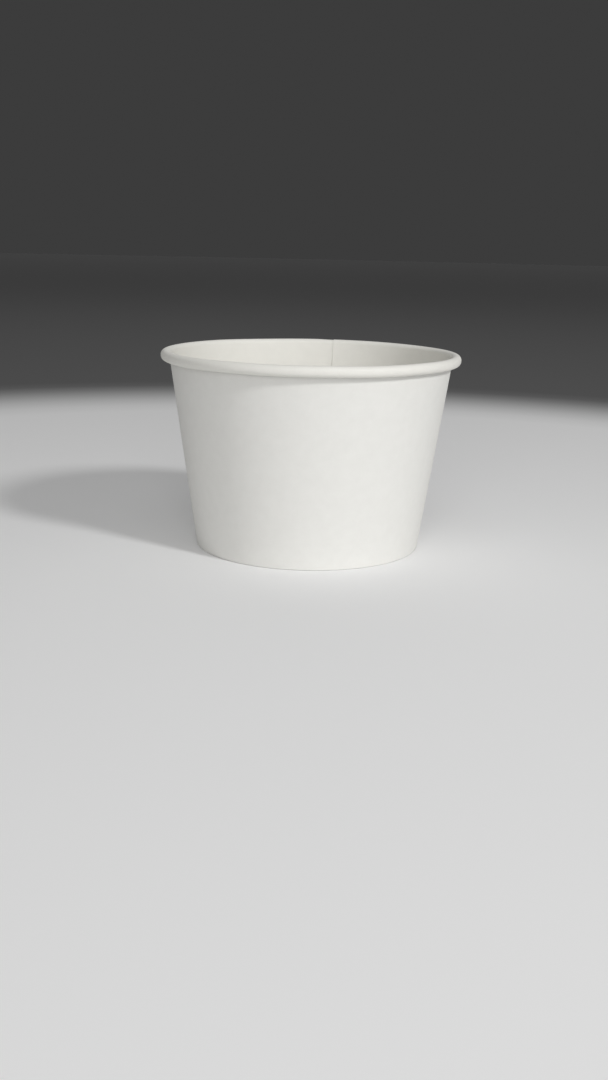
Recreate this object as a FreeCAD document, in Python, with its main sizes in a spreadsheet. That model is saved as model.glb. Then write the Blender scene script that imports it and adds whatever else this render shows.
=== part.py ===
import FreeCAD, Part
import math
import os
import Sketcher

# Paper sundae cup, in millimetres.
# It is two paper blanks. The side wall is rolled into a cone and lapped at one seam,
# curled over at the rim and folded under at the foot. The base disc has a skirt turned
# down at its edge, which the wall and its folded hem hold between them.
# The origin is the centre of the foot, on the surface the cup stands on, and +Z is up.

SIZES = {
    "rim_diameter": 95.0,        # over the rolled rim
    "foot_diameter": 72.2,       # the wall's outer face, carried down to the floor
    "cup_height": 62.4,
    "roll_width": 3.1,           # the rolled rim, across
    "roll_height": 3.3,          # the rolled rim, top to bottom
    "roll_gap": 0.3,             # the roll's cut edge to the lapped wall
    "wall_board": 0.45,          # thickness of the side wall's board
    "crease_radius": 0.05,       # inside of the two creases at the foot
    "hem_height": 5.4,           # the hem's cut edge above the floor
    "seal_clearance": 0.03,      # on each side of the base's skirt
    "base_board": 0.4,           # thickness of the base's board
    "base_height": 7.0,          # inside face of the base above the floor
    "base_bend_radius": 0.4,     # inside of the bend between base and skirt
    "skirt_clearance": 0.35,     # the skirt's cut edge above the folded foot
    "seam_bearing": 79.5,        # inner cut edge of the lap, degrees from +X towards +Y
    "lap_angle": 9.0,            # how far the wall's two ends lie over each other
    "ease_angle": 8.0,           # the stretch in which the outer end climbs onto the inner
    "lap_step": 0.22,            # how far the pressed lap's outer end stands off, at the foot
    "lap_step_rim": 0.12,        # the same in the rolled rim
}

easeSpans = 4                    # lofted spans in that climb
startPoint, endPoint, centrePoint = range(1, 4)    # the places on a sketched line or arc
right = FreeCAD.Vector(1, 0, 0)
down = FreeCAD.Vector(0, -1, 0)
downAngle = -math.pi / 2


def makeSheet(doc):
    """The driving dimensions, one named cell each."""
    sheet = doc.addObject("Spreadsheet::Sheet", "sizes")
    for row, (name, value) in enumerate(SIZES.items(), start=1):
        sheet.set(f"A{row}", name)
        sheet.set(f"B{row}", str(value))
        sheet.setAlias(f"B{row}", name)
    doc.recompute()
    return sheet


def wallFrame(sheet):
    """Heel point, lean and outward normal of the wall's outer face, and the roll's centre."""
    roll = sheet.roll_width / 2
    heel = FreeCAD.Vector(sheet.foot_diameter / 2, 0, 0)
    centre = FreeCAD.Vector(sheet.rim_diameter / 2 - roll, sheet.cup_height - roll, 0)
    reach = centre - heel
    lean = math.atan2(reach.x, reach.y) - math.asin((roll - sheet.wall_board) / reach.Length)
    normal = FreeCAD.Vector(math.cos(lean), -math.sin(lean), 0)
    return heel, lean, normal, centre


def levelPoint(heel, normal, offset, height):
    """The point at a height that lies an offset outside the wall's outer face."""
    return heel + FreeCAD.Vector((offset - height * normal.y) / normal.x, height, 0)


def turned(angle):
    return FreeCAD.Vector(math.cos(angle), math.sin(angle), 0)


def line(sketch, start, end, construction=False):
    return sketch.addGeometry(Part.LineSegment(start, end), construction)


def arc(sketch, centre, radius, first, last):
    circle = Part.Circle(centre, FreeCAD.Vector(0, 0, 1), radius)
    return sketch.addGeometry(Part.ArcOfCircle(circle, first, last), False)


def relate(sketch, kind, *groups):
    """The same constraint for each group of places."""
    for places in groups:
        sketch.addConstraint(Sketcher.Constraint(kind, *places))


def dimension(sketch, kind, places, expression, value):
    """A size in a sketch that follows the sheet."""
    index = sketch.addConstraint(Sketcher.Constraint(kind, *places, value))
    sketch.setExpression(f"Constraints[{index}]", expression)


def uprightSketch(body, name, bearing):
    """A sketch on a plane through the cup's axis, at a bearing given as an expression."""
    plane = next(item for item in body.Origin.OriginFeatures if item.Role == "XZ_Plane")
    sketch = body.newObject("Sketcher::SketchObject", name)
    sketch.AttachmentSupport = [(plane, "")]
    sketch.MapMode = "FlatFace"
    upright = FreeCAD.Vector(0, 1, 0)
    sketch.AttachmentOffset = FreeCAD.Placement(FreeCAD.Vector(), FreeCAD.Rotation(upright, 1))
    sketch.setExpression("AttachmentOffset.Rotation.Angle", bearing)
    return sketch


def wallGuide(sketch, sheet):
    """A construction line up the wall's outer face, squared to the rolled rim's centre."""
    heel, lean, normal, centre = wallFrame(sheet)
    reach = sheet.roll_width / 2 - sheet.wall_board
    guide = line(sketch, heel, levelPoint(heel, normal, 0, centre.y), True)
    square = line(sketch, centre - normal * reach, centre, True)
    relate(sketch, "PointOnObject", (guide, startPoint, -1), (square, startPoint, guide))
    relate(sketch, "Perpendicular", (square, guide))
    dimension(sketch, "DistanceX", (guide, startPoint), "sizes.foot_diameter / 2", heel.x)
    dimension(sketch, "DistanceY", (guide, endPoint),
              "sizes.cup_height - sizes.roll_width / 2", centre.y)
    dimension(sketch, "Distance", (square,), "sizes.roll_width / 2 - sizes.wall_board", reach)
    dimension(sketch, "DistanceX", (square, endPoint),
              "(sizes.rim_diameter - sizes.roll_width) / 2", centre.x)
    dimension(sketch, "DistanceY", (square, endPoint),
              "sizes.cup_height - sizes.roll_width / 2", centre.y)
    return guide, square


def wallSection(body, sheet, name, bearing, share):
    """The wall's section from hem to curl, lifted off the inner layer by a share of the step."""
    sketch = uprightSketch(body, name, bearing)
    guide, square = wallGuide(sketch, sheet)
    heel, lean, normal, rollTop = wallFrame(sheet)
    board = sheet.wall_board
    lift = sheet.lap_step * share
    lifted = f"sizes.lap_step * {share:.4f}"
    rollLifted = f"sizes.lap_step_rim * {share:.4f}"
    rollLow = rollTop + down * (sheet.roll_height - sheet.roll_width)
    roll = sheet.roll_width / 2 - sheet.lap_step_rim * share
    crease = sheet.crease_radius
    heelRadius = crease + board
    foldWidth = 2 * board + sheet.base_board + 2 * sheet.seal_clearance
    wallFold = levelPoint(heel, normal, lift - heelRadius, heelRadius)
    hemFold = levelPoint(heel, normal, heelRadius - foldWidth - lift, heelRadius)
    wallSide = -lean
    hemSide = math.pi - lean
    curlReach = (rollLow - heel).dot(normal) - sheet.lap_step - sheet.roll_gap
    curlStop = hemSide + math.acos(curlReach / roll)
    hemFront = levelPoint(heel, normal, -foldWidth - lift, sheet.hem_height)
    hemRear = levelPoint(heel, normal, board - foldWidth - lift, sheet.hem_height)

    hemFace = line(sketch, hemFront, hemFold - normal * heelRadius)
    heelHem = arc(sketch, hemFold, heelRadius, hemSide, downAngle + 2 * math.pi)
    footFace = line(sketch, hemFold + down * heelRadius, wallFold + down * heelRadius)
    heelWall = arc(sketch, wallFold, heelRadius, downAngle, wallSide)
    wallOuter = line(sketch, wallFold + normal * heelRadius, rollTop - normal * (roll - board))
    curlTopInner = arc(sketch, rollTop, roll - board, 0, hemSide)
    curlSideInner = line(sketch, rollTop + right * (roll - board), rollLow + right * (roll - board))
    curlLowInner = arc(sketch, rollLow, roll - board, curlStop, 2 * math.pi)
    curlEdge = line(sketch, rollLow + turned(curlStop) * (roll - board),
                    rollLow + turned(curlStop) * roll)
    curlLow = arc(sketch, rollLow, roll, curlStop, 2 * math.pi)
    curlSide = line(sketch, rollLow + right * roll, rollTop + right * roll)
    curlTop = arc(sketch, rollTop, roll, 0, hemSide)
    wallInner = line(sketch, rollTop - normal * roll, wallFold + normal * crease)
    creaseWall = arc(sketch, wallFold, crease, downAngle, wallSide)
    footInner = line(sketch, wallFold + down * crease, hemFold + down * crease)
    creaseHem = arc(sketch, hemFold, crease, hemSide, downAngle + 2 * math.pi)
    hemBack = line(sketch, hemFold - normal * crease, hemRear)
    hemEdge = line(sketch, hemRear, hemFront)

    relate(sketch, "Tangent",
           (hemFace, endPoint, heelHem, startPoint), (heelHem, endPoint, footFace, startPoint),
           (footFace, endPoint, heelWall, startPoint), (heelWall, endPoint, wallOuter, startPoint),
           (wallOuter, endPoint, curlTopInner, endPoint),
           (curlTopInner, startPoint, curlSideInner, startPoint),
           (curlSideInner, endPoint, curlLowInner, endPoint),
           (curlLow, endPoint, curlSide, startPoint), (curlSide, endPoint, curlTop, startPoint),
           (curlTop, endPoint, wallInner, startPoint), (wallInner, endPoint, creaseWall, endPoint),
           (creaseWall, startPoint, footInner, startPoint),
           (footInner, endPoint, creaseHem, endPoint), (creaseHem, startPoint, hemBack, startPoint))
    relate(sketch, "Coincident",
           (curlLowInner, startPoint, curlEdge, startPoint), (curlEdge, endPoint, curlLow, startPoint),
           (hemBack, endPoint, hemEdge, startPoint), (hemEdge, endPoint, hemFace, startPoint),
           (heelHem, centrePoint, creaseHem, centrePoint),
           (heelWall, centrePoint, creaseWall, centrePoint),
           (curlTopInner, centrePoint, curlTop, centrePoint),
           (curlLowInner, centrePoint, curlLow, centrePoint))
    relate(sketch, "Horizontal", (footFace,), (hemEdge,))
    relate(sketch, "Vertical", (curlSide,))
    relate(sketch, "Parallel", (hemFace, guide), (hemBack, guide))
    relate(sketch, "PointOnObject", (curlLow, centrePoint, curlEdge))
    relate(sketch, "Coincident", (curlTop, centrePoint, square, endPoint))

    for outer, inner in ((heelHem, creaseHem), (heelWall, creaseWall)):
        dimension(sketch, "Radius", (outer,), "sizes.crease_radius + sizes.wall_board", heelRadius)
        dimension(sketch, "Radius", (inner,), "sizes.crease_radius", crease)
    for outer, inner in ((curlTop, curlTopInner), (curlLow, curlLowInner)):
        dimension(sketch, "Radius", (outer,), f"sizes.roll_width / 2 - {rollLifted}", roll)
        dimension(sketch, "Radius", (inner,),
                  f"sizes.roll_width / 2 - sizes.wall_board - {rollLifted}", roll - board)
    dimension(sketch, "DistanceY", (curlLow, centrePoint),
              "sizes.cup_height - sizes.roll_height + sizes.roll_width / 2", rollLow.y)
    dimension(sketch, "Distance", (curlLow, startPoint, guide),
              "sizes.lap_step + sizes.roll_gap", sheet.lap_step + sheet.roll_gap)
    dimension(sketch, "DistanceY", (heelWall, centrePoint),
              "sizes.crease_radius + sizes.wall_board", heelRadius)
    dimension(sketch, "Distance", (heelHem, centrePoint, guide),
              "sizes.wall_board + sizes.base_board + 2 * sizes.seal_clearance"
              f" - sizes.crease_radius + {lifted}", foldWidth - heelRadius + lift)
    dimension(sketch, "DistanceY", (hemBack, endPoint), "sizes.hem_height", sheet.hem_height)
    if share > 0:
        dimension(sketch, "Distance", (wallOuter, startPoint, guide), lifted, lift)
    else:
        relate(sketch, "PointOnObject", (guide, startPoint, wallOuter))
    return sketch


def turn(body, name, sketch, angle):
    """Turns a section clockwise about the cup's axis, seen from above."""
    feature = body.newObject("PartDesign::Revolution", name)
    feature.Profile = sketch
    feature.ReferenceAxis = (sketch, ["V_Axis"])
    feature.Reversed = True
    feature.setExpression("Angle", angle)
    sketch.Visibility = False
    return feature


def makeSideWall(doc, sheet):
    """One sheet of board: round the cup from the lap's inner end, and back over it."""
    body = doc.addObject("PartDesign::Body", "side_wall")
    body.Label = "side_wall"
    inner = wallSection(body, sheet, "inner_end", "sizes.seam_bearing", 0)
    turn(body, "wall_round", inner, "360 - sizes.ease_angle")
    outer = wallSection(body, sheet, "outer_end", "sizes.seam_bearing", 1)
    turn(body, "lap_layer", outer, "sizes.lap_angle")

    sections = []
    for step in range(1, easeSpans + 1):
        climb = 1 - step / easeSpans
        share = (1 - math.cos(math.pi * climb)) / 2
        bearing = f"sizes.seam_bearing + sizes.ease_angle * {step} / {easeSpans}"
        sections.append(wallSection(body, sheet, f"ease_{step}", bearing, share))
    ease = body.newObject("PartDesign::AdditiveLoft", "lap_ease")
    ease.Profile = outer
    ease.Sections = sections

    return body


def makeBaseDisc(doc, sheet):
    """A round of board with its edge turned down inside the wall."""
    body = doc.addObject("PartDesign::Body", "base_disc")
    body.Label = "base_disc"
    sketch = uprightSketch(body, "base_section", "0")
    guide, square = wallGuide(sketch, sheet)
    heel, lean, normal, rollTop = wallFrame(sheet)
    board = sheet.base_board
    bend = sheet.base_bend_radius
    reach = sheet.wall_board + sheet.seal_clearance
    top = sheet.base_height
    bendCentre = levelPoint(heel, normal, -reach - board - bend, top - board - bend)
    skirtEnd = sheet.wall_board + sheet.skirt_clearance
    wallSide = -lean

    axis = line(sketch, FreeCAD.Vector(0, top - board, 0), FreeCAD.Vector(0, top, 0))
    inside = line(sketch, FreeCAD.Vector(0, top, 0), FreeCAD.Vector(bendCentre.x, top, 0))
    bendOuter = arc(sketch, bendCentre, bend + board, wallSide, -downAngle)
    skirtOuter = line(sketch, bendCentre + normal * (bend + board),
                      levelPoint(heel, normal, -reach, skirtEnd))
    skirtEdge = line(sketch, levelPoint(heel, normal, -reach, skirtEnd),
                     levelPoint(heel, normal, -reach - board, skirtEnd))
    skirtInner = line(sketch, levelPoint(heel, normal, -reach - board, skirtEnd),
                      bendCentre + normal * bend)
    bendInner = arc(sketch, bendCentre, bend, wallSide, -downAngle)
    under = line(sketch, FreeCAD.Vector(bendCentre.x, top - board, 0),
                 FreeCAD.Vector(0, top - board, 0))

    relate(sketch, "Tangent",
           (inside, endPoint, bendOuter, endPoint), (bendOuter, startPoint, skirtOuter, startPoint),
           (skirtInner, endPoint, bendInner, startPoint), (bendInner, endPoint, under, startPoint))
    relate(sketch, "Coincident",
           (axis, endPoint, inside, startPoint), (skirtOuter, endPoint, skirtEdge, startPoint),
           (skirtEdge, endPoint, skirtInner, startPoint), (under, endPoint, axis, startPoint),
           (bendOuter, centrePoint, bendInner, centrePoint))
    relate(sketch, "Horizontal", (inside,), (under,), (skirtEdge,))
    relate(sketch, "PointOnObject", (axis, startPoint, -2), (axis, endPoint, -2))
    relate(sketch, "Parallel", (skirtOuter, guide), (skirtInner, guide))
    dimension(sketch, "DistanceY", (axis, endPoint), "sizes.base_height", top)
    dimension(sketch, "Radius", (bendInner,), "sizes.base_bend_radius", bend)
    dimension(sketch, "Radius", (bendOuter,),
              "sizes.base_bend_radius + sizes.base_board", bend + board)
    dimension(sketch, "Distance", (skirtOuter, endPoint, guide),
              "sizes.wall_board + sizes.seal_clearance", reach)
    dimension(sketch, "DistanceY", (skirtEdge, startPoint),
              "sizes.wall_board + sizes.skirt_clearance", skirtEnd)
    turn(body, "base_round", sketch, "360")
    return body


def checkModel(doc, bodies):
    """Stops before anything is written if an object failed or a piece isn't one good solid."""
    for item in doc.Objects:
        if "Invalid" in item.State or "Error" in item.State:
            raise RuntimeError(f"{item.Label} is {item.State}")
    for body in bodies:
        if body.Shape.isNull() or not body.Shape.isValid() or len(body.Shape.Solids) != 1:
            raise RuntimeError(f"{body.Label} isn't one valid solid")


def main():
    doc = FreeCAD.newDocument("sundae_cup")
    sheet = makeSheet(doc)
    bodies = [makeSideWall(doc, sheet), makeBaseDisc(doc, sheet)]
    for body in bodies:
        body.Placement = FreeCAD.Placement()
    doc.recompute()
    checkModel(doc, bodies)
    os.makedirs("parts", exist_ok=True)
    for body in bodies:
        body.Shape.exportStep(f"parts/{body.Label}.step")
        print(body.Label, round(body.Shape.Volume, 2), "cubic mm")


main()
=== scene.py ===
from math import acos, asin, atan2, cos, degrees, pi, radians, sin

import bpy
from mathutils import Matrix, Vector


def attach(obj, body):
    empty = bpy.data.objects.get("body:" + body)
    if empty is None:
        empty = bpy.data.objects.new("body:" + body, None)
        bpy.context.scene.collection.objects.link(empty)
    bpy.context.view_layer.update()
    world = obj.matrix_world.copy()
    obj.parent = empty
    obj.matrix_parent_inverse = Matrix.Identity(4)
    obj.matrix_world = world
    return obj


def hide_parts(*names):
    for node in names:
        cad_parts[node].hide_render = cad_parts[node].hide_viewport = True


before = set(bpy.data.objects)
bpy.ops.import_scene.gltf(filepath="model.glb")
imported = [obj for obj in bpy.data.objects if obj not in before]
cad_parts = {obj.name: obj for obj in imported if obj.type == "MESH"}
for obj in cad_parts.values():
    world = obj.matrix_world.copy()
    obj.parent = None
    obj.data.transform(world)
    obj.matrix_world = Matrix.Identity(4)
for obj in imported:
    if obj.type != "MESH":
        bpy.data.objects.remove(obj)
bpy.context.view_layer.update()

# A white paper sundae cup: a side wall of one lapped, curled and folded blank, and a base disc.
# Lengths in the dictionaries are millimetres and angles are degrees.

mm = 0.001


# Shared bits

def selectNothing():
    bpy.ops.object.select_all(action="DESELECT")


def takeUp(piece):
    selectNothing()
    piece.select_set(True)
    bpy.context.view_layer.objects.active = piece


def clearPick(mesh):
    for part in (mesh.vertices, mesh.edges, mesh.polygons):
        part.foreach_set("select", [False] * len(part))


def pickVertices(piece, test):
    # selects the vertices that pass, and leaves the piece in edit mode
    bpy.ops.object.mode_set(mode="OBJECT")
    passed = [test(vertex) for vertex in piece.data.vertices]
    clearPick(piece.data)
    piece.data.vertices.foreach_set("select", passed)
    bpy.ops.object.mode_set(mode="EDIT")
    bpy.ops.mesh.select_mode(type="VERT")


def dropEdges(piece, test):
    # deletes the edges that pass, with the faces on them
    bpy.ops.object.mode_set(mode="OBJECT")
    clearPick(piece.data)
    points = piece.data.vertices
    for edge in piece.data.edges:
        first, last = edge.vertices
        edge.select = test(points[first], points[last])
    bpy.ops.object.mode_set(mode="EDIT")
    bpy.ops.mesh.select_mode(type="EDGE")
    bpy.ops.mesh.delete(type="EDGE_FACE")
    bpy.ops.mesh.select_all(action="SELECT")


def startStrip(name, middle, board, lean):
    # a square of board on edge, whose lower or outer end then grows
    selectNothing()
    bpy.ops.mesh.primitive_plane_add(size=board * mm, location=middle * mm,
                                     rotation=(pi / 2, lean, 0))
    piece = bpy.context.object
    piece.name = name
    piece.data.name = name
    bpy.ops.object.transform_apply(location=True, rotation=True, scale=True)
    return piece


def markFaces(strip, towardsCoated):
    # the board's two faces, as groups that every later extrusion and turn carries along
    printed = strip.vertex_groups.new(name="printedFace")
    coated = strip.vertex_groups.new(name="coatedFace")
    middle = sum((vertex.co for vertex in strip.data.vertices), Vector()) / 4
    for vertex in strip.data.vertices:
        group = coated if (vertex.co - middle).dot(towardsCoated) > 0 else printed
        group.add([vertex.index], 1.0, "REPLACE")


def growStraight(run, steps):
    step = run * (mm / steps)
    for _ in range(steps):
        bpy.ops.mesh.extrude_region_move(TRANSFORM_OT_translate={"value": step})


def growBend(centre, angle, steps):
    # a positive angle bends clockwise, with x to the right and z up
    bpy.ops.mesh.spin(steps=steps, angle=-angle, center=centre * mm, axis=(0, 1, 0))


def turnAbout(angle, steps):
    # anticlockwise round the cup's axis, seen from above
    bpy.ops.mesh.spin(steps=steps, angle=-radians(angle), center=(0, 0, 0), axis=(0, 0, 1))


def keepOutline():
    # leaves the section's outline ready to turn
    bpy.ops.mesh.select_all(action="SELECT")
    bpy.ops.mesh.select_mode(type="FACE")
    bpy.ops.mesh.region_to_loop()
    bpy.ops.mesh.select_mode(type="EDGE")
    bpy.ops.mesh.select_all(action="INVERT")
    bpy.ops.mesh.delete(type="EDGE_FACE")
    bpy.ops.mesh.select_all(action="SELECT")


def weld(threshold):
    bpy.ops.mesh.select_all(action="SELECT")
    bpy.ops.mesh.remove_doubles(threshold=threshold * mm)
    bpy.ops.mesh.normals_make_consistent(inside=False)
    bpy.ops.object.mode_set(mode="OBJECT")


def sideOf(piece, vertex):
    # the name of the board's face that a vertex belongs to
    return piece.vertex_groups[vertex.groups[0].group].name


# Side wall

wall = {
    "rimDiameter": 95.0,         # over the rolled rim
    "footDiameter": 72.2,        # the outer face carried down to the floor
    "height": 62.4,
    "rollWidth": 3.1,
    "rollHeight": 3.3,
    "rollGap": 0.39,             # the roll's cut edge to the lapped wall
    "board": 0.45,
    "creaseRadius": 0.05,
    "hemHeight": 5.4,
    "seamBearing": 80.2,         # inner cut edge of the lap, from +X towards +Y
    "lapAngle": 9.0,
    "easeAngle": 8.0,            # where the outer end climbs onto the inner
    "lapStep": 0.36,             # how far the lap's outer end stands off
    "lapStepRim": 0.13,          # the same where the rim's roll presses it
    "pressedFrom": 51.0,         # height at which the roll starts to press it
    "cutWidth": 0.22,            # run in which a cut edge drops
    "lipAngle": 0.7,             # the inner cut edge stands up a little
    "lipRise": 0.05,
    "ribs": 72,                  # pressed into the hem
    "ribDepth": 0.09,
    "ribLow": 1.3,
    "ribHigh": 4.7,
    "ribFade": 0.6,              # run in which a rib rises and ends
    "dentGrip": 1.2,             # a pull holds the vertices within this
    "dents": ((-66, 0.10, 0.14, 17), (-150, 0.14, 0.05, 26), (-20, 0.12, 0.04, 20),
              (38, 0.15, 0.07, 24), (112, 0.10, 0.09, 18), (165, 0.13, 0.06, 28),
              (-100, 0.05, 0.08, 14), (215, 0.08, 0.07, 20)),    # bearing, inward, down, reach
    "steps": {"hem": 8, "hemFold": 7, "wallFold": 6, "wall": 32, "roll": 20, "curl": 14,
              "ease": 16, "lap": 11, "lip": 4},
    "weldWithin": 0.002,
    "sharpAngle": 35,
}
base = {
    "board": 0.4,
    "height": 7.0,
    "bendRadius": 0.4,
    "sealClearance": 0.03,
    "skirtClearance": 0.35,
    "steps": {"round": 34, "bend": 8, "skirt": 5, "turn": 180},
    "weldWithin": 0.002,
    "sharpAngle": 35,
}


def wallFrame():
    # heel point, lean and outward direction of the wall, and the roll's upper centre
    roll = wall["rollWidth"] / 2
    heel = Vector((wall["footDiameter"] / 2, 0, 0))
    centre = Vector((wall["rimDiameter"] / 2 - roll, 0, wall["height"] - roll))
    reach = centre - heel
    lean = atan2(reach.x, reach.z) - asin((roll - wall["board"]) / reach.length)
    outward = Vector((cos(lean), 0, -sin(lean)))
    return heel, lean, outward, centre


def levelPoint(offset, height):
    # the point at a height that lies an offset outside the wall's outer face
    heel, _, outward, _ = wallFrame()
    return heel + Vector(((offset - height * outward.z) / outward.x, 0, height))


def growWallSection():
    # hem, fold, wall and rolled rim as one bent strip, with the lap's inner end at bearing 0
    heel, lean, outward, rollTop = wallFrame()
    upward = Vector((sin(lean), 0, cos(lean)))
    board = wall["board"]
    steps = wall["steps"]
    roll = wall["rollWidth"] / 2
    heelRadius = wall["creaseRadius"] + board
    midHeel = wall["creaseRadius"] + board / 2
    foldWidth = 2 * board + base["board"] + 2 * base["sealClearance"]
    wallFold = levelPoint(-heelRadius, heelRadius)
    hemFold = levelPoint(heelRadius - foldWidth, heelRadius)
    hemTop = levelPoint(board / 2 - foldWidth, wall["hemHeight"])
    rollLow = rollTop - Vector((0, 0, wall["rollHeight"] - wall["rollWidth"]))
    curlReach = (rollLow - heel).dot(outward) - wall["lapStepRim"] - wall["rollGap"]
    curlTurn = pi + lean - acos(curlReach / roll)
    hemStart = hemTop - upward * board
    hemEnd = hemFold - outward * midHeel
    wallStart = wallFold + outward * midHeel
    wallEnd = rollTop - outward * (roll - board / 2)

    strip = startStrip("cupWall", (hemTop + hemStart) / 2, board, lean)
    markFaces(strip, outward)
    level = (hemTop + hemStart).z / 2 * mm
    pickVertices(strip, lambda vertex: vertex.co.z < level)
    growStraight(hemEnd - hemStart, steps["hem"])
    growBend(hemFold, -(pi / 2 + lean), steps["hemFold"])
    growStraight(wallFold - hemFold, 1)
    growBend(wallFold, -(pi / 2 - lean), steps["wallFold"])
    growStraight(wallEnd - wallStart, steps["wall"])
    growBend(rollTop, pi - lean, steps["roll"])
    growStraight(rollLow - rollTop, 1)
    growBend(rollLow, curlTurn, steps["curl"])
    keepOutline()
    return strip


def turnWall():
    # from the lap's inner end, with a narrow column where each cut end of the board drops
    drop = degrees(wall["cutWidth"] / (wall["rimDiameter"] / 2))
    plain = 360 - wall["easeAngle"] - wall["lapAngle"]
    steps = wall["steps"]
    turnAbout(wall["easeAngle"], steps["ease"])
    turnAbout(plain, round(plain))
    turnAbout(drop, 1)
    turnAbout(wall["lapAngle"] - wall["lipAngle"] - 2 * drop, steps["lap"])
    turnAbout(wall["lipAngle"], steps["lip"])
    turnAbout(drop, 1)
    weld(wall["weldWithin"])
    return drop


def lapShare(side, bearing, drop):
    # how much of the lap's step a face has at a bearing from the lap's inner end
    if 0 <= bearing <= wall["easeAngle"]:
        return (1 + cos(pi * bearing / wall["easeAngle"])) / 2
    inLap = -wall["lapAngle"] + drop / 2 < bearing < 0
    return 1.0 if side == "printedFace" and inLap else 0.0


def pressedShare(height):
    # how far the rim's roll presses the lap flat at a height
    rollFoot = wall["height"] - wall["rollHeight"]
    run = (height - wall["pressedFrom"]) / (rollFoot - wall["pressedFrom"])
    return (1 - cos(pi * min(max(run, 0), 1))) / 2


def lipShare(side, bearing, drop):
    run = 1 + (bearing + drop) / wall["lipAngle"]
    return min(run, 1) ** 2 if side == "coatedFace" and 0 < run and bearing < 0 else 0.0


def ribShare(side, bearing, place):
    # the knurled hem's ribs, on its open face below its cut edge
    inHem = wall["ribLow"] < place.z < wall["ribHigh"] and place.xy.length < wall["footDiameter"] / 2
    if side != "printedFace" or not inHem:
        return 0.0
    fade = min(place.z - wall["ribLow"], wall["ribHigh"] - place.z, wall["ribFade"]) / wall["ribFade"]
    return fade * (1 - cos(radians(wall["ribs"] * bearing))) / 2


def pressFaces(piece, drop):
    # lifts the lap's outer end over the inner, turns up the inner edge and knurls the hem
    fold = wall["creaseRadius"] + wall["board"]
    floorOf = {"printedFace": 0.0, "coatedFace": wall["board"]}
    ways = {"printedFace": 1, "coatedFace": -1}
    names = [side + "Lift" for side in ways] + ["lip", "ribs"]
    groups = {name: piece.vertex_groups.new(name=name) for name in names}
    for vertex in piece.data.vertices:
        side = sideOf(piece, vertex)
        place = vertex.co / mm
        bearing = round(degrees(atan2(place.y, place.x)), 4)
        fade = min(max((place.z - floorOf[side]) / fold, 0), 1)
        pressed = pressedShare(place.z)
        step = 1 - (1 - wall["lapStepRim"] / wall["lapStep"]) * pressed
        shares = {side + "Lift": lapShare(side, bearing, drop) * step * fade,
                  "lip": lipShare(side, bearing, drop) * (1 - pressed) * fade,
                  "ribs": ribShare(side, bearing, place)}
        for name, share in shares.items():
            if share > 0:
                groups[name].add([vertex.index], share, "REPLACE")
    strengths = {side + "Lift": way * wall["lapStep"] for side, way in ways.items()}
    strengths.update(lip=wall["lipRise"], ribs=-wall["ribDepth"])
    takeUp(piece)
    for name, strength in strengths.items():
        press = piece.modifiers.new(name, "DISPLACE")
        press.vertex_group = name
        press.mid_level = 0
        press.strength = strength * mm
        bpy.ops.object.modifier_apply(modifier=press.name)


def dentRim(piece):
    # slight unevenness of the rim, each a pull on a few vertices that carries its surroundings
    for bearing, inward, down, reach in wall["dents"]:
        out = Vector((cos(radians(bearing)), sin(radians(bearing)), 0))
        top = out * (wall["rimDiameter"] / 2) + Vector((0, 0, wall["height"] - wall["rollHeight"] / 2))
        pickVertices(piece, lambda vertex: (vertex.co / mm - top).length < wall["dentGrip"])
        bpy.ops.transform.translate(value=(-out * inward - Vector((0, 0, down))) * mm,
                                    use_proportional_edit=True, proportional_edit_falloff="SMOOTH",
                                    proportional_size=reach * mm)
    bpy.ops.object.mode_set(mode="OBJECT")


def closeCutEdge(piece, isThere):
    # bridges the two faces where a cut edge of the board was opened
    takeUp(piece)
    bpy.ops.object.mode_set(mode="EDIT")
    bpy.ops.mesh.select_mode(type="VERT")
    bpy.ops.mesh.select_all(action="DESELECT")
    bpy.ops.mesh.select_non_manifold(use_wire=False, use_multi_face=False,
                                     use_non_contiguous=False, use_verts=False)
    pickVertices(piece, lambda vertex: vertex.select and isThere(vertex.co / mm))
    bpy.ops.mesh.bridge_edge_loops()
    bpy.ops.object.mode_set(mode="OBJECT")


def finishShape(piece, bearing, sharpAngle):
    takeUp(piece)
    piece.rotation_euler.z = radians(bearing)
    bpy.ops.object.transform_apply(location=True, rotation=True, scale=True)
    bpy.ops.object.mode_set(mode="EDIT")
    bpy.ops.mesh.select_all(action="SELECT")
    bpy.ops.mesh.normals_make_consistent(inside=False)
    bpy.ops.object.mode_set(mode="OBJECT")
    bpy.ops.object.shade_smooth_by_angle(angle=radians(sharpAngle))


def makeWall():
    piece = growWallSection()
    drop = turnWall()
    dropEdges(piece, lambda first, last: sideOf(piece, first) != sideOf(piece, last))
    bpy.ops.object.mode_set(mode="OBJECT")
    pressFaces(piece, drop)
    closeCutEdge(piece, lambda place: place.z < wall["height"] / 2)
    closeCutEdge(piece, lambda place: place.z > wall["height"] / 2)
    finishShape(piece, wall["seamBearing"], wall["sharpAngle"])
    dentRim(piece)
    print("side wall made:", len(piece.data.polygons), "faces")
    return piece


# Base disc

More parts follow.
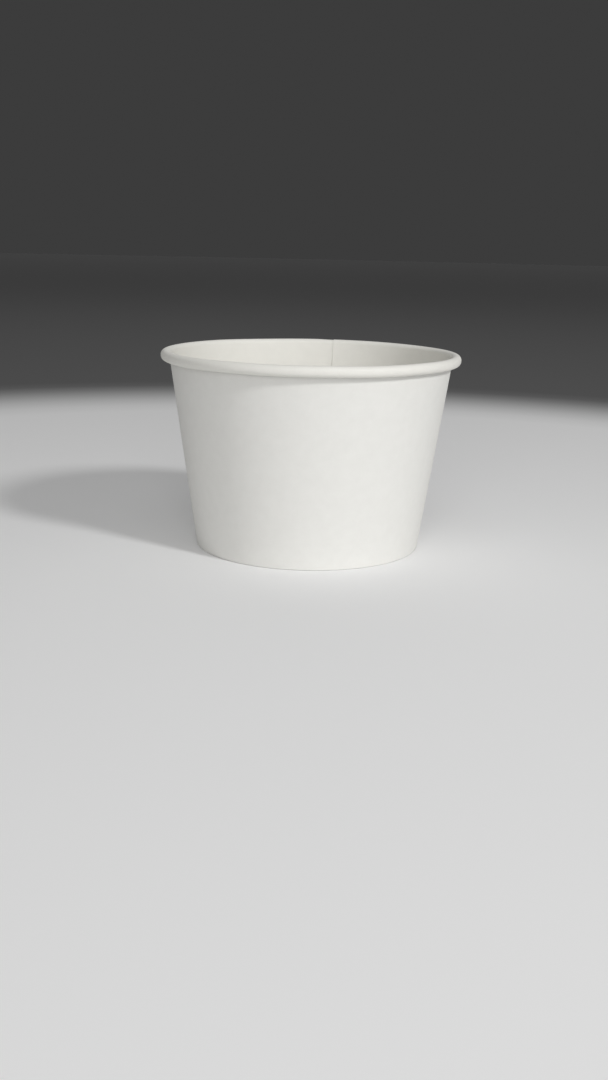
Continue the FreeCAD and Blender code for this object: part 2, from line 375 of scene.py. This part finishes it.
def makeBase():
    # a round of board with its edge turned down inside the wall
    _, lean, outward, _ = wallFrame()
    steps = base["steps"]
    board = base["board"]
    bend = base["bendRadius"]
    reach = wall["board"] + base["sealClearance"]
    middle = base["height"] - board / 2
    bendCentre = levelPoint(-reach - board - bend, base["height"] - board - bend)
    skirtTop = bendCentre + outward * (bend + board / 2)
    skirtEnd = levelPoint(-reach - board / 2, wall["board"] + base["skirtClearance"])

    strip = startStrip("cupBase", Vector((board / 2, 0, middle)), board, 0)
    markFaces(strip, Vector((0, 0, 1)))
    pickVertices(strip, lambda vertex: vertex.co.x > board / 2 * mm)
    growStraight(Vector((bendCentre.x - board, 0, 0)), steps["round"])
    growBend(bendCentre, pi / 2 + lean, steps["bend"])
    growStraight(skirtEnd - skirtTop, steps["skirt"])
    keepOutline()
    dropEdges(strip, lambda first, last: max(first.co.x, last.co.x) < board / 2 * mm)
    turnAbout(360, steps["turn"])
    weld(base["weldWithin"])
    finishShape(strip, 0, base["sharpAngle"])
    print("base disc made:", len(strip.data.polygons), "faces")
    return strip


# Materials

paper = {
    "outerTone": ((0.800, 0.793, 0.760), (0.840, 0.834, 0.801)),
    "coatedTone": ((0.812, 0.800, 0.750), (0.848, 0.836, 0.786)),
    "cutTone": ((0.56, 0.53, 0.48), (0.71, 0.685, 0.64)),
    "cloudSize": 3.2,            # mottling of the sheet
    "fibreSize": 0.45,
    "cloudDetail": 4,
    "cloudRoughness": 0.55,
    "fibreDetail": 5,
    "fibreRoughness": 0.7,
    "fibreDistortion": 1.2,
    "fibreShare": 0.45,          # of the fibres in the blend with the clouds
    "blendRange": (0.3, 0.7),
    "outerRoughness": (0.62, 0.74),
    "coatedRoughness": (0.55, 0.66),
    "cutRoughness": (0.75, 0.9),
    "outerRelief": 0.012,
    "coatedRelief": 0.006,
    "cutRelief": 0.03,
}


def socket(group, way, name, kind, value=None):
    made = group.interface.new_socket(name=name, in_out=way, socket_type=kind)
    if value is not None:
        made.default_value = value
    return made


def makeFibreGroup():
    # mottling and felted fibres of paper board, for colour, gloss and relief
    group = bpy.data.node_groups.new("paperFibre", "ShaderNodeTree")
    socket(group, "INPUT", "Place", "NodeSocketVector")
    socket(group, "INPUT", "Clouds per Metre", "NodeSocketFloat", 1000 / paper["cloudSize"])
    socket(group, "INPUT", "Fibres per Metre", "NodeSocketFloat", 1000 / paper["fibreSize"])
    socket(group, "INPUT", "Dark", "NodeSocketColor")
    socket(group, "INPUT", "Light", "NodeSocketColor")
    socket(group, "INPUT", "Smoothest", "NodeSocketFloat")
    socket(group, "INPUT", "Roughest", "NodeSocketFloat")
    socket(group, "OUTPUT", "Colour", "NodeSocketColor")
    socket(group, "OUTPUT", "Roughness", "NodeSocketFloat")
    socket(group, "OUTPUT", "Relief", "NodeSocketFloat")
    nodes, links = group.nodes, group.links
    given = nodes.new("NodeGroupInput")
    result = nodes.new("NodeGroupOutput")

    clouds = nodes.new("ShaderNodeTexNoise")
    clouds.inputs["Detail"].default_value = paper["cloudDetail"]
    clouds.inputs["Roughness"].default_value = paper["cloudRoughness"]
    fibres = nodes.new("ShaderNodeTexNoise")
    fibres.inputs["Detail"].default_value = paper["fibreDetail"]
    fibres.inputs["Roughness"].default_value = paper["fibreRoughness"]
    fibres.inputs["Distortion"].default_value = paper["fibreDistortion"]
    for texture, scale in ((clouds, "Clouds per Metre"), (fibres, "Fibres per Metre")):
        links.new(given.outputs["Place"], texture.inputs["Vector"])
        links.new(given.outputs[scale], texture.inputs["Scale"])

    blend = nodes.new("ShaderNodeMix")
    blend.inputs["Factor"].default_value = paper["fibreShare"]
    links.new(clouds.outputs["Fac"], blend.inputs["A"])
    links.new(fibres.outputs["Fac"], blend.inputs["B"])
    spread = nodes.new("ShaderNodeMapRange")
    least, most = paper["blendRange"]
    spread.inputs["From Min"].default_value = least
    spread.inputs["From Max"].default_value = most
    links.new(blend.outputs["Result"], spread.inputs["Value"])

    tone = nodes.new("ShaderNodeMix")
    tone.data_type = "RGBA"
    links.new(spread.outputs["Result"], tone.inputs["Factor"])
    links.new(given.outputs["Dark"], tone.inputs["A"])
    links.new(given.outputs["Light"], tone.inputs["B"])
    gloss = nodes.new("ShaderNodeMapRange")
    links.new(fibres.outputs["Fac"], gloss.inputs["Value"])
    links.new(given.outputs["Smoothest"], gloss.inputs["To Min"])
    links.new(given.outputs["Roughest"], gloss.inputs["To Max"])
    links.new(tone.outputs["Result"], result.inputs["Colour"])
    links.new(gloss.outputs["Result"], result.inputs["Roughness"])
    links.new(blend.outputs["Result"], result.inputs["Relief"])
    return group


def paperMaterial(name, finish, fibreGroup):
    # one face of the board, with the shared fibres in its colour, gloss and relief
    made = bpy.data.materials.new(name)
    made.use_nodes = True
    nodes, links = made.node_tree.nodes, made.node_tree.links
    shader = nodes["Principled BSDF"]
    place = nodes.new("ShaderNodeTexCoord")
    fibre = nodes.new("ShaderNodeGroup")
    fibre.node_tree = fibreGroup
    dark, light = paper[finish + "Tone"]
    smoothest, roughest = paper[finish + "Roughness"]
    fibre.inputs["Dark"].default_value = (*dark, 1)
    fibre.inputs["Light"].default_value = (*light, 1)
    fibre.inputs["Smoothest"].default_value = smoothest
    fibre.inputs["Roughest"].default_value = roughest
    relief = nodes.new("ShaderNodeBump")
    relief.inputs["Distance"].default_value = paper[finish + "Relief"] * mm
    links.new(place.outputs["Object"], fibre.inputs["Place"])
    links.new(fibre.outputs["Colour"], shader.inputs["Base Color"])
    links.new(fibre.outputs["Roughness"], shader.inputs["Roughness"])
    links.new(fibre.outputs["Relief"], relief.inputs["Height"])
    links.new(relief.outputs["Normal"], shader.inputs["Normal"])
    return made


def coverBoard(piece, outer, coated, cut):
    # a finish for each face of the board, and one for its cut edges
    for finish in (outer, coated, cut):
        piece.data.materials.append(finish)
    sides = [sideOf(piece, vertex) for vertex in piece.data.vertices]
    for face in piece.data.polygons:
        around = {sides[index] for index in face.vertices}
        if len(around) > 1:
            face.material_index = 2
        else:
            face.material_index = 1 if "coatedFace" in around else 0


# View, light and stage

viewpoint = {
    "distance": 375.05,          # in front of the cup's axis
    "height": 96.31,
    "downward": 14.357,
    "sideways": -0.142,
    "roll": 1.269,
    "sensor": 36.0,              # over the picture's height
    "lens": 39.04,
    "nearest": 10,               # distance at which the view starts
}
studio = {
    "lamps": {                   # bearing, height angle, distance, size, power in watts
        "keyLamp": (-44, 34, 1400, 200, 8.3),
        "sideLamp": (-92, 19, 1400, 800, 4.9),
        "topLamp": (-96, 57, 1400, 1000, 2.0),
        "backLamp": (95, 52, 1400, 1000, 1.5),
    },
    "around": 0.2,
    "behind": 0.045,
    "floorRadius": 6000,
    "floorSides": 96,
    "floorRoughness": 0.85,
    # the floor's tones paint a pool of light round the cup and painted shade where that light falls
    # off
    "floorPaintedLightPool": ((300, 0.90), (440, 0.10), (6000, 0.165)),    # distance from the cup, tone
}


def placeCamera():
    bpy.ops.object.camera_add(location=(0, -viewpoint["distance"] * mm, viewpoint["height"] * mm))
    camera = bpy.context.object
    camera.name = "viewCamera"
    turn = (Matrix.Rotation(radians(-viewpoint["sideways"]), 3, "Z")
            @ Matrix.Rotation(radians(90 - viewpoint["downward"]), 3, "X")
            @ Matrix.Rotation(radians(viewpoint["roll"]), 3, "Z"))
    camera.rotation_euler = turn.to_euler()
    camera.data.sensor_fit = "VERTICAL"
    camera.data.sensor_height = viewpoint["sensor"]
    camera.data.lens = viewpoint["lens"]
    camera.data.clip_start = viewpoint["nearest"] * mm
    bpy.context.scene.camera = camera


def placeLamp(name, bearing, rise, distance, size, power):
    flat = Vector((cos(radians(bearing)), sin(radians(bearing)), 0)) * cos(radians(rise))
    away = flat + Vector((0, 0, sin(radians(rise))))
    bpy.ops.object.light_add(type="AREA", location=away * distance * mm)
    lamp = bpy.context.object
    lamp.name = name
    lamp.rotation_euler = away.to_track_quat("Z", "Y").to_euler()
    lamp.data.shape = "DISK"
    lamp.data.size = size * mm
    lamp.data.energy = power


def lightWorld():
    world = bpy.data.worlds.new("studioAir")
    bpy.context.scene.world = world
    world.use_nodes = True
    nodes, links = world.node_tree.nodes, world.node_tree.links
    around = nodes["Background"]
    around.inputs["Strength"].default_value = studio["around"]
    behind = nodes.new("ShaderNodeBackground")
    behind.inputs["Strength"].default_value = studio["behind"]
    for shade in (around, behind):
        shade.inputs["Color"].default_value = (1, 1, 1, 1)
    path = nodes.new("ShaderNodeLightPath")
    pick = nodes.new("ShaderNodeMixShader")
    links.new(path.outputs["Is Camera Ray"], pick.inputs["Fac"])
    links.new(around.outputs["Background"], pick.inputs[1])
    links.new(behind.outputs["Background"], pick.inputs[2])
    links.new(pick.outputs["Shader"], nodes["World Output"].inputs["Surface"])


def makeFloor():
    # a painted pool of light: pale round the cup, then painted shade darkening with distance into the
    # grey behind
    selectNothing()
    bpy.ops.mesh.primitive_circle_add(vertices=studio["floorSides"], radius=studio["floorRadius"] * mm,
                                      fill_type="NGON")
    floor = bpy.context.object
    floor.name = "floor"
    made = bpy.data.materials.new("paleFloor")
    made.use_nodes = True
    nodes, links = made.node_tree.nodes, made.node_tree.links
    shader = nodes["Principled BSDF"]
    shader.inputs["Roughness"].default_value = studio["floorRoughness"]
    place = nodes.new("ShaderNodeTexCoord")
    distance = nodes.new("ShaderNodeVectorMath")
    distance.operation = "LENGTH"
    share = nodes.new("ShaderNodeMapRange")
    share.inputs["From Max"].default_value = studio["floorRadius"] * mm
    # the ramp paints the pool of light near the cup and the shade beyond it
    tones = nodes.new("ShaderNodeValToRGB")
    tones.color_ramp.interpolation = "EASE"
    stops = tones.color_ramp.elements
    while len(stops) < len(studio["floorPaintedLightPool"]):
        stops.new(1.0)
    for stop, (reach, tone) in zip(stops, studio["floorPaintedLightPool"]):
        stop.position = reach / studio["floorRadius"]
        stop.color = (tone, tone, tone, 1)
    links.new(place.outputs["Object"], distance.inputs["Vector"])
    links.new(distance.outputs["Value"], share.inputs["Value"])
    links.new(share.outputs["Result"], tones.inputs["Fac"])
    links.new(tones.outputs["Color"], shader.inputs["Base Color"])
    floor.data.materials.append(made)
    return floor


bpy.context.scene.view_settings.view_transform = "Standard"

sideWall = makeWall()
baseDisc = makeBase()

fibreGroup = makeFibreGroup()
outerBoard = paperMaterial("outerBoard", "outer", fibreGroup)
coatedBoard = paperMaterial("coatedBoard", "coated", fibreGroup)
cutBoard = paperMaterial("cutBoard", "cut", fibreGroup)
coverBoard(sideWall, outerBoard, coatedBoard, cutBoard)
coverBoard(baseDisc, outerBoard, coatedBoard, cutBoard)
print("paper finishes made")

floor = makeFloor()
for name, setting in studio["lamps"].items():
    placeLamp(name, *setting)
lightWorld()
placeCamera()
print("studio set")

for piece, node in ((sideWall, "side_wall"), (baseDisc, "base_disc")):
    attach(piece, "root")
    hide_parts(node)
